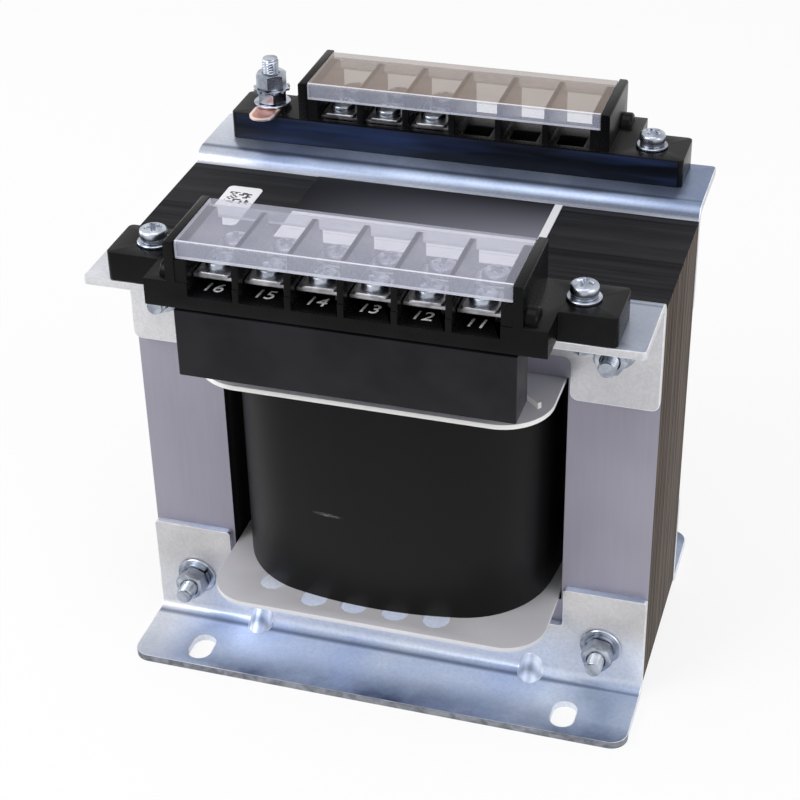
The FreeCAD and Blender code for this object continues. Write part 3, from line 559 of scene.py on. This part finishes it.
# Terminal numbers
# Plain white numbers hot-stamped on the ledge before each front cell, 16 at the left to 11 at the right.
strips_lo, strips_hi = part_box("terminal_strips_front")
strip_w = 11.5 * MM
cell_pitch = (strips_hi.x - strips_lo.x - strip_w) / 5.0
ledge_z = core_hi.z + 7.9 * MM
number_base = strips_lo.y + 0.3 * MM
number_size = 6.0 * MM
number_shift = 1.5 * MM
ink_t = 0.03 * MM


def ink_finish():
    """Stamped white ink, thin enough for the black to grin through in places."""
    material, shader, position = new_material("white_stamped_ink")
    speck = add(material, "TexNoise", {"Vector": position, "Scale": 1.0 / (0.6 * MM), "Detail": 4.0}).outputs[0]
    thin = add(material, "MapRange", {0: speck, 1: 0.3, 2: 0.5}).outputs[0]
    base = add(material, "Mix", {0: thin, 6: colour("#bdbdc1"), 7: colour("#ffffff")}, data_type="RGBA").outputs[2]
    feed(shader, {"Base Color": base, "Roughness": 0.55})
    return material


def cell_x(k):
    """Centre of a cell, counted from the left of the front block."""
    return (k - 2.5) * cell_pitch


numbers = bmesh.new()
for k in range(6):
    curve = bpy.data.curves.new("number", "FONT")
    curve.body = str(16 - k)
    curve.size = number_size
    curve.align_x = "CENTER"
    curve.shear = 0.12
    curve.offset = ink_t
    curve.extrude = ink_t
    maker = bpy.data.objects.new("number", curve)
    flat_text = bpy.data.meshes.new_from_object(maker)
    flat_text.transform(Matrix.Translation((cell_x(k) - number_shift, number_base, ledge_z + 0.02 * MM)))
    numbers.from_mesh(flat_text)
    bpy.data.objects.remove(maker)
    bpy.data.curves.remove(curve)
    bpy.data.meshes.remove(flat_text)
place("terminal_numbers", finished("terminal_numbers", numbers), [ink_finish()], "label_white")


# Terminal strips, clamps and screws
# Each used cell has a tinned brass strip with a solder tail, two square wire clamps and two pan screws.
# The rear block is fitted in its three left cells only.
screw_r = 2.0 * MM
pan_r = 3.7 * MM
pan_h = 2.6 * MM
clamp_w = 9.4 * MM
clamp_t = 0.9 * MM
strip_top = core_hi.z + 12.7 * MM
tin = plated_finish("tinned_brass_satin", "#828286", "#bdbdc1", 0.36, 4.0 * MM)


def square_ring(width, corner, z):
    """Square of points with round corners, spaced by angle."""
    half = width / 2.0
    points = []
    for k in range(around):
        angle = 2.0 * math.pi * (k + 0.5) / around
        c, s = math.cos(angle), math.sin(angle)
        reach = half / max(abs(c), abs(s))
        over = math.hypot(max(0.0, abs(c * reach) - (half - corner)), max(0.0, abs(s * reach) - (half - corner)))
        reach -= max(0.0, over - corner) * 0.9
        points.append(Vector((c * reach, s * reach, z)))
    return points


def pan_screw(bm, radius, height, shank, length, matrix, turn):
    """Pan head with a cross recess over a plain shank that is hidden in its thread."""
    count = 72
    crown_rings = 14
    arm = radius * 0.6
    half = radius * 0.13
    rows = [ring(r, z, count) for r, z in (
        (shank, -length), (shank, 0.0), (radius * 0.97, 0.0), (radius, height * 0.12), (radius, height * 0.5),
        (radius * 0.97, height * 0.68))]
    for step in range(1, crown_rings + 1):
        share = 1.0 - step / (crown_rings + 0.5)
        row = []
        for p in ring(radius * 0.95 * share, 0.0, count):
            crown = height * (0.74 + 0.26 * (1.0 - share * share))
            a = abs(math.cos(turn) * p.x + math.sin(turn) * p.y)
            b = abs(-math.sin(turn) * p.x + math.cos(turn) * p.y)
            wall = max(0.0, min(1.0, (half - min(a, b)) / (0.12 * radius) + 0.5)) if max(a, b) < arm else 0.0
            row.append(Vector((p.x, p.y, crown - wall * height * 0.42)))
        rows.append(row)
    loft(bm, rows, matrix)


screws_lo, screws_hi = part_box("terminal_screws_front")
near_y = screws_hi.y - pan_r
far_y = screws_lo.y + pan_r
ease = 0.2 * MM
clamp_rings = [ring(screw_r * 1.03, 0.0), square_ring(clamp_w - 2 * ease, 1.0 * MM, 0.0),
               square_ring(clamp_w, 1.2 * MM, ease), square_ring(clamp_w, 1.2 * MM, clamp_t - ease),
               square_ring(clamp_w - 2 * ease, 1.0 * MM, clamp_t), ring(screw_r * 1.03, clamp_t)]
for end, cells, sign in (("front", range(6), 1.0), ("rear", range(3, 6), -1.0)):
    place("terminal_strip_set_" + end, eased("terminal_strips_" + end, 0.12 * MM), [tin], "tinned_strip",
          "terminal_strips_" + end)
    clamps, screws = bmesh.new(), bmesh.new()
    for k in cells:
        for y, slant, turn in ((near_y, 3, 0.4), (far_y, 0, 1.0)):
            spot = (sign * cell_x(k), sign * y)
            twist = Matrix.Rotation(math.radians((k * 7 + slant) % 5 - 2), 4, "Z")
            loft(clamps, clamp_rings, Matrix.Translation((*spot, strip_top)) @ twist, True)
            pan_screw(screws, pan_r, pan_h, screw_r, clamp_t + 1.0 * MM,
                      Matrix.Translation((*spot, strip_top + clamp_t)), 0.7 * k + turn)
    place_fasteners("wire_clamps_" + end, clamps, "clamp_plates_" + end, tin)
    place_fasteners("pan_screws_" + end, screws, "terminal_screws_" + end, sharp_angle=40.0)


# Covers
# Clear moulded trays, open at the ends, that rest on the partitions and hang a lip over each long side.
# Polycarbonate, a little milky and warm in the mass; the cut edges are painted bright white and more solid as a
# highlight, and the long lips carry a painted bluish sheen.
def clear_finish(name, dark, light, solid):
    """Clear plastic with a milky body, dulled by fine rub marks; solid is the share that it hides."""
    material, shader, position = new_material(name)
    rub = add(material, "TexNoise", {"Vector": position, "Scale": 1.0 / (9.0 * MM), "Detail": 5.0}).outputs[0]
    haze = add(material, "MapRange", {0: rub, 1: 0.3, 2: 0.7, 3: 0.08, 4: 0.2}).outputs[0]
    tint = add(material, "Mix", {0: rub, 6: colour(dark), 7: colour(light)}, data_type="RGBA").outputs[2]
    relief = add(material, "Bump", {"Height": rub, "Distance": 0.05 * MM, "Strength": 0.12}).outputs[0]
    feed(shader, {"Base Color": tint, "Roughness": haze, "Normal": relief, "IOR": 1.49, "Alpha": solid})
    return material


# painted sheen on the lips, painted highlight on the cut edges
lip_sheen_clear = clear_finish("clear_lip_painted_blue_sheen", "#c4c8de", "#dadded", 0.3)
edge_highlight_clear = clear_finish("clear_cut_edge_painted_highlight", "#d9dbe8", "#edeef6", 0.8)
lip_bottom = 0.2 * MM
for end, body in (("front", clear_finish("clear_cover_lavender", "#b2b4cc", "#dcdcec", 0.33)),
                  ("rear", clear_finish("clear_cover_warm", "#87766c", "#a18f84", 0.56))):
    tray = eased("terminal_cover_" + end, 0.15 * MM)
    floor_z = min(point.co.z for point in tray.vertices)
    for face in tray.polygons:
        tilt = min(abs(face.normal.y), abs(face.normal.z))
        rounding = tilt > 0.3 and abs(face.normal.z) > abs(face.normal.y)
        cut = abs(face.normal.x) > 0.3 or rounding or face.center.z < floor_z + lip_bottom
        face.material_index = 2 if cut else (1 if abs(face.normal.y) > 0.7 else 0)
    place("clear_tray_" + end, tray, [body, lip_sheen_clear, edge_highlight_clear], "clear_cover", "terminal_cover_" + end)


# Block screws and the earth stud
# Pan screws with split and flat washers hold three ears; the fourth ear carries the M5 earth stud.
# The stud has a copper tag, a flat washer, a nut, a toothed washer and a second nut.
ear_z = core_hi.z + 11.7 * MM
heads_lo, heads_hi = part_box("block_screws")
stud_lo, stud_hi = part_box("earth_stud")
ear_x, ear_y = heads_hi.x - pan_r, heads_hi.y - pan_r
m4_flat_r = 4.5 * MM
m4_flat_t = 0.8 * MM
m4_spring_r = 3.5 * MM
m4_spring_t = 1.0 * MM
m4_nut_af = 7.0 * MM
m4_nut_h = 3.2 * MM
m4_flat = washer_rings(screw_r + play, m4_flat_r, m4_flat_t)
seat = ear_z + m4_flat_t + m4_spring_t
below = core_hi.z + 1.2 * MM - m4_flat_t
ear_screws, ear_springs, ear_flats, ear_nuts = (bmesh.new() for _ in range(4))
for n, (x, y) in enumerate(((-ear_x, -ear_y), (ear_x, -ear_y), (ear_x, ear_y))):
    pan_screw(ear_screws, pan_r, pan_h + 0.4 * MM, screw_r, seat - heads_lo.z, Matrix.Translation((x, y, seat)),
              0.5 + n)
    loft(ear_springs, split_rings(screw_r + play, m4_spring_r, m4_spring_t, 1.1 * n),
         Matrix.Translation((x, y, ear_z + m4_flat_t)))
    for z in (ear_z, below):
        loft(ear_flats, m4_flat, Matrix.Translation((x, y, z)), True)
    loft(ear_nuts, nut_rings(m4_nut_af, m4_nut_h, screw_r * 1.01), Matrix.Translation((x, y, below - m4_nut_h)), True)
place_fasteners("ear_screws", ear_screws, "block_screws", sharp_angle=40.0)
place_fasteners("ear_springs", ear_springs, "block_spring_washers")
place_fasteners("ear_flats", ear_flats, "block_flat_washers")
place_fasteners("ear_nuts", ear_nuts, "block_nuts")

stud_x, stud_y = (stud_lo.x + stud_hi.x) / 2.0, (stud_lo.y + stud_hi.y) / 2.0
tag_t = 0.7 * MM
low_nut_h = 3.6 * MM
top_nut_h = 4.7 * MM
earth_washer_r = 5.5 * MM
earth_washer_t = 0.8 * MM
teeth = 12


def upright(z):
    """Place on the stud's axis at a height."""
    return Matrix.Translation((stud_x, stud_y, z))


def star_rings(inner, outer, thick):
    """Toothed lock washer: its rim steps in and out, and the teeth are twisted."""
    count = teeth * 6
    foot_r = outer * 0.78
    rims = ([], [])
    for k, p in enumerate(ring(1.0, 0.0, count)):
        tooth = (k % 6) < 3
        r = outer if tooth else outer * 0.9
        skew = 0.125 * thick * ((k % 6) - 1) if tooth else 0.0
        for rim, share in zip(rims, (0.15, 0.85)):
            rim.append(Vector((p.x * r, p.y * r, share * thick + skew)))
    return [ring(inner, 0.0, count), ring(foot_r, 0.0, count), *rims, ring(foot_r, thick, count),
            ring(inner, thick, count)]


def copper_finish():
    """Bare copper: stained red-brown in the middle, rubbed pale along the rim."""
    material, shader, position = new_material("bare_copper_tag")
    tag_lo, tag_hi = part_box("earth_tag")
    half = (tag_hi.x - tag_lo.x) / 2.0
    middle = (tag_lo + tag_hi) / 2.0
    axes = add(material, "SeparateXYZ", {0: position}).outputs
    across = add(material, "Math", {0: axes["X"], 1: middle.x}, operation="SUBTRACT").outputs[0]
    along = add(material, "Math", {0: axes["Y"], 1: middle.y}, operation="SUBTRACT").outputs[0]
    along = add(material, "Math", {0: along}, operation="ABSOLUTE").outputs[0]
    past = add(material, "Math", {0: along, 1: (tag_hi.y - tag_lo.y) / 2.0 - half}, operation="SUBTRACT").outputs[0]
    over = add(material, "Math", {0: past, 1: 0.0}, operation="MAXIMUM").outputs[0]
    spot = add(material, "CombineXYZ", {0: across, 1: over}).outputs[0]
    away = add(material, "VectorMath", {0: spot}, operation="LENGTH").outputs["Value"]
    rim = add(material, "MapRange", {0: away, 1: half - 1.0 * MM, 2: half - 0.7 * MM}).outputs[0]
    stain = add(material, "TexNoise", {"Vector": position, "Scale": 1.0 / (2.5 * MM), "Detail": 4.0}).outputs[0]
    inner = add(material, "Mix", {0: stain, 6: colour("#a06a5c"), 7: colour("#cf9c90")}, data_type="RGBA").outputs[2]
    base = add(material, "Mix", {0: rim, 6: inner, 7: colour("#eed6cf")}, data_type="RGBA").outputs[2]
    feed(shader, {"Base Color": base, "Metallic": 0.9, "Roughness": 0.34})
    return material


stud, earth_nuts, earth_rings = (bmesh.new() for _ in range(3))
head_top = stud_lo.z + bolt_head
loft(stud, head_rings(bolt_af, bolt_head), upright(head_top) @ Matrix.Rotation(math.pi, 4, "X"))
loft(stud, [ring(bolt_r, 0.0), ring(bolt_r, ear_z - head_top)], upright(head_top))
loft(stud, thread_rings(bolt_r, bolt_pitch, 0.0, stud_hi.z - ear_z), upright(ear_z))

flat_z = ear_z + tag_t
low_nut_z = flat_z + earth_washer_t
tooth_z = low_nut_z + low_nut_h
for turn, height, z in ((0.42, low_nut_h, low_nut_z), (0.09, top_nut_h, tooth_z + earth_washer_t)):
    loft(earth_nuts, nut_rings(bolt_af, height, bolt_bore), upright(z) @ Matrix.Rotation(turn, 4, "Z"), True)

earth_bore = bolt_r + play
loft(earth_rings, washer_rings(earth_bore, earth_washer_r, bolt_flat_t), upright(head_top), True)
loft(earth_rings, washer_rings(earth_bore, earth_washer_r, earth_washer_t), upright(flat_z), True)
loft(earth_rings, star_rings(earth_bore, earth_washer_r, earth_washer_t), upright(tooth_z), True)
place_fasteners("earth_stud_threaded", stud, "earth_stud")
place_fasteners("earth_nut_pair", earth_nuts, "earth_nuts")
place_fasteners("earth_washer_set", earth_rings, "earth_washers")
place("earth_solder_tag", eased("earth_tag", 0.12 * MM), [copper_finish()], "copper_tag", "earth_tag")


# Labels
# A printed film sheet and a small paper sticker, glued side by side on the core's top.
# The sheet is white with a dark field towards the rear, the sticker white with a random block pattern.
plate_lo, plate_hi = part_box("rating_plate")
code_lo, code_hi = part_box("code_sticker")
margin = 2.2 * MM
field_y = 2.0 * MM
rule_pitch = 4.2 * MM
rule_half = 0.12 * MM
code_cell = 0.75 * MM
code_margin = 1.5 * MM
code_front, code_rear = code_hi.y - 10.5 * MM, code_hi.y - 3.6 * MM


def inside(material, value, low, high):
    """1 where the value lies between two bounds."""
    above = add(material, "Math", {0: value, 1: low}, operation="GREATER_THAN").outputs[0]
    below = add(material, "Math", {0: value, 1: high}, operation="LESS_THAN").outputs[0]
    return add(material, "Math", {0: above, 1: below}, operation="MULTIPLY").outputs[0]


def plate_finish():
    """Printed film: white ground with thin rules, and a dark printed field with a painted sheen that pales it to the
    right and the front.
    """
    material, shader, position = new_material("printed_film_white")
    axes = add(material, "SeparateXYZ", {0: position}).outputs
    field = add(material, "Math", {0: inside(material, axes["X"], plate_lo.x, plate_hi.x - margin),
                                   1: inside(material, axes["Y"], field_y, plate_hi.y)},
                operation="MULTIPLY").outputs[0]
    rows = add(material, "Math", {0: axes["Y"], 1: rule_pitch}, operation="PINGPONG").outputs[0]
    rule = add(material, "Math", {0: rows, 1: rule_half}, operation="LESS_THAN").outputs[0]
    ruled = add(material, "Math", {0: rule, 1: inside(material, axes["X"], plate_lo.x + margin, plate_hi.x - margin)},
                operation="MULTIPLY").outputs[0]
    paper = add(material, "Mix", {0: ruled, 6: colour("#dcdce2"), 7: colour("#a3a3ab")}, data_type="RGBA").outputs[2]
    # painted sheen: the dark field pales to the right and the front
    along = add(material, "MapRange", {0: axes["X"], 1: plate_lo.x, 2: plate_hi.x, 3: 0.05, 4: 1.0}).outputs[0]
    depth = add(material, "MapRange", {0: axes["Y"], 1: plate_hi.y, 2: field_y, 3: 0.0, 4: 1.2}).outputs[0]
    painted_sheen = add(material, "Math", {0: along, 1: depth}, operation="MULTIPLY").outputs[0]
    ink = add(material, "Mix", {0: painted_sheen, 6: colour("#0e0e12"), 7: colour("#73737f")}, data_type="RGBA").outputs[2]
    base = add(material, "Mix", {0: field, 6: paper, 7: ink}, data_type="RGBA").outputs[2]
    feed(shader, {"Base Color": base, "Roughness": 0.5, "Specular IOR Level": 0.05})
    return material


def sticker_finish():
    """Paper sticker: white, with a random block pattern over its rear part."""
    material, shader, position = new_material("paper_sticker_white")
    axes = add(material, "SeparateXYZ", {0: position}).outputs
    cell = add(material, "VectorMath", {0: position, 1: (code_cell,) * 3}, operation="SNAP").outputs[0]
    blocks = add(material, "TexWhiteNoise", {"Vector": cell}, noise_dimensions="2D").outputs["Value"]
    dark = add(material, "Math", {0: blocks, 1: 0.5}, operation="GREATER_THAN").outputs[0]
    zone = add(material, "Math", {0: inside(material, axes["X"], code_lo.x + code_margin, code_hi.x - code_margin),
                                  1: inside(material, axes["Y"], code_front, code_rear)},
               operation="MULTIPLY").outputs[0]
    printed = add(material, "Math", {0: dark, 1: zone}, operation="MULTIPLY").outputs[0]
    base = add(material, "Mix", {0: printed, 6: colour("#e6e6ea"), 7: colour("#3b3a44")}, data_type="RGBA").outputs[2]
    feed(shader, {"Base Color": base, "Roughness": 0.5, "Specular IOR Level": 0.3})
    return material


place("film_plate", eased("rating_plate", 0.05 * MM), [plate_finish()], "label_white", "rating_plate")
place("paper_sticker", eased("code_sticker", 0.03 * MM), [sticker_finish()], "label_white", "code_sticker")


# Studio
# A pale floor under five soft lamps. The camera sees the world as white and the floor nearly so, since
# a part of the floor's light is its own and the rest of it keeps the object's soft shadow.
def seen_ray(owner):
    """1 on a ray from the camera, also after a reflection or through clear plastic."""
    path = add(owner, "LightPath", {}).outputs
    by_way = add(owner, "Math", {0: path["Is Glossy Ray"], 1: path["Is Transmission Ray"]},
                 operation="MAXIMUM").outputs[0]
    return add(owner, "Math", {0: path["Is Camera Ray"], 1: by_way}, operation="MAXIMUM").outputs[0]


reach = 4.0
white = (1.0, 1.0, 1.0, 1.0)
floor_glow = 0.84
world_light = 0.45
floor_mesh = bpy.data.meshes.new("floor")
floor_mesh.from_pydata([(-reach, -reach, 0), (reach, -reach, 0), (reach, reach, 0), (-reach, reach, 0)], [],
                       [(0, 1, 2, 3)])
floor = bpy.data.objects.new("floor", floor_mesh)
bpy.context.scene.collection.objects.link(floor)

floor_paint, floor_shader, _ = new_material("pale_studio_floor")
feed(floor_shader, {"Base Color": colour("#f2f2f2"), "Roughness": 0.9, "Specular IOR Level": 0.1})
glow = add(floor_paint, "Emission", {"Color": white, "Strength": 1.0})
share = add(floor_paint, "Math", {0: seen_ray(floor_paint), 1: floor_glow}, operation="MULTIPLY").outputs[0]
both = add(floor_paint, "MixShader", {0: share, 1: floor_shader.outputs[0], 2: glow.outputs[0]})
feed(floor_paint.node_tree.nodes["Material Output"], {"Surface": both.outputs[0]})
floor_mesh.materials.append(floor_paint)

world = bpy.data.worlds.new("studio")
bpy.context.scene.world = world
world.use_nodes = True
level = add(world, "MapRange", {0: seen_ray(world), 3: world_light, 4: 1.0}).outputs[0]
feed(world.node_tree.nodes["Background"], {"Color": white, "Strength": level})

target = Vector((0.0, 0.0, 0.07))
for name, spot, size, power in (
        ("key_left", (-0.9, -0.9, 1.1), 0.9, 13.0), ("fill_right", (1.2, -0.7, 0.8), 1.0, 5.0),
        ("top", (0.1, -0.2, 1.6), 1.0, 6.0), ("side_left", (-1.1, 0.1, 0.35), 0.5, 2.5),
        ("side_right", (1.0, -0.3, 0.3), 0.4, 0.9)):
    lamp = bpy.data.lights.new(name, "AREA")
    lamp.size = size
    lamp.energy = power
    holder = bpy.data.objects.new(name, lamp)
    holder.location = spot
    holder.rotation_euler = (target - Vector(spot)).to_track_quat("-Z", "Y").to_euler()
    bpy.context.scene.collection.objects.link(holder)


# Camera
# It stands where the photograph's camera stood: to the right of the front, above the object, slightly rolled.
camera_at = Vector((0.1376, -0.4513, 0.3749))
azimuth = math.radians(17.56)
elevation = math.radians(32.63)
roll = math.radians(-1.28)
look = Vector((-math.sin(azimuth) * math.cos(elevation), math.cos(azimuth) * math.cos(elevation),
               -math.sin(elevation)))
level_right = Vector((math.cos(azimuth), math.sin(azimuth), 0.0))
level_up = level_right.cross(look)
right = level_right * math.cos(roll) + level_up * math.sin(roll)
up = level_up * math.cos(roll) - level_right * math.sin(roll)
camera = bpy.data.objects.new("camera", bpy.data.cameras.new("camera"))
camera.data.sensor_width = 36.0
camera.data.lens = 86.27
camera.data.clip_start = 0.01
camera.data.clip_end = 20.0
rows = [[right[i], up[i], -look[i], camera_at[i]] for i in range(3)]
camera.matrix_world = Matrix(rows + [[0.0, 0.0, 0.0, 1.0]])
bpy.context.scene.collection.objects.link(camera)
bpy.context.scene.camera = camera
bpy.context.scene.view_settings.view_transform = "Standard"
